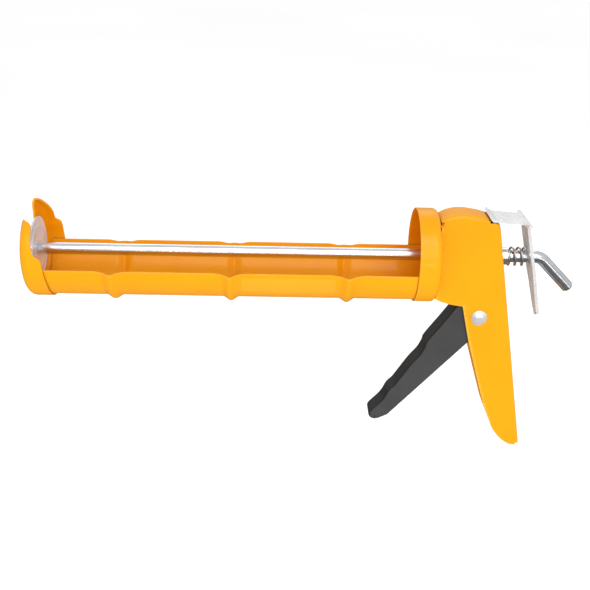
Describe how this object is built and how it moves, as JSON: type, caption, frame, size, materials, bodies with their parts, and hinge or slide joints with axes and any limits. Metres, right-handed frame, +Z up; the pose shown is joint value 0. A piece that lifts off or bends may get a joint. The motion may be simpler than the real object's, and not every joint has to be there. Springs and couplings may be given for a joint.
{
  "type": "caulking gun",
  "caption": "Half-barrel caulking gun with a folded sheet handle, trigger lever, smooth push rod, piston plate and sprung release plate.",
  "frame": {"origin": "on the cartridge and push rod axis, at the outer face of the front wall", "axes": "+X along the push rod from the front wall to the handle, +Z up towards the open side of the cradle"},
  "size_m": [0.3175, 0.056, 0.1531],
  "materials": {
    "yellow_enamel": "gloss",
    "black_enamel": "satin",
    "bright_steel": "polished",
    "zinc_steel": "bright zinc plate",
    "spring_steel": "satin"
  },
  "bodies": {
    "frame": {"cradle_trough": "yellow_enamel", "front_cap": "yellow_enamel", "rear_ring": "yellow_enamel", "handle_frame": "yellow_enamel", "frame_rivets": "yellow_enamel", "front_rod_bush": "zinc_steel", "rear_rod_bush": "zinc_steel", "drive_spring_washer": "zinc_steel", "drive_spring": "spring_steel", "trigger_pivot_rivet": "zinc_steel", "pivot_spacer": "zinc_steel", "pivot_washers": "zinc_steel", "release_spring": "spring_steel"},
    "trigger": {"trigger_lever": "black_enamel", "trigger_push_pin": "zinc_steel"},
    "drive_plates": {"front_drive_plate": "zinc_steel", "rear_drive_plate": "zinc_steel"},
    "piston": {"piston_disc": "zinc_steel", "piston_washer": "zinc_steel"},
    "rod": {"push_rod": "bright_steel"},
    "release": {"release_plate": "zinc_steel"}
  },
  "joints": [
    {"name": "trigger_squeeze", "type": "hinge", "parent": "frame", "child": "trigger", "pos_m": [0.2626, 0, -0.0363], "axis": [0, -1, 0], "range_deg": [0, 36], "stiffness_Nm_per_rad": 0.3, "springref_deg": -17.19, "deforming": ["drive_spring"]},
    {"name": "drive_stroke", "type": "slide", "parent": "frame", "child": "drive_plates", "axis": [-1, 0, 0], "range_m": [0, 0.01546]},
    {"name": "rod_slide", "type": "slide", "parent": "frame", "child": "piston", "axis": [1, 0, 0], "range_m": [0, 0.21]},
    {"name": "rod_turn", "type": "hinge", "parent": "piston", "child": "rod", "pos_m": [0.1, 0, 0], "axis": [1, 0, 0], "continuous": true},
    {"name": "release_press", "type": "hinge", "parent": "frame", "child": "release", "pos_m": [0.2682, 0, 0.0226], "axis": [0, 1, 0], "range_deg": [0, 4], "stiffness_Nm_per_rad": 0.3, "springref_deg": -17.19, "deforming": ["release_spring"]}
  ],
  "couplings": [
    {"joint": "drive_stroke", "follows": "trigger_squeeze", "m_per_rad": 0.0246}
  ]
}
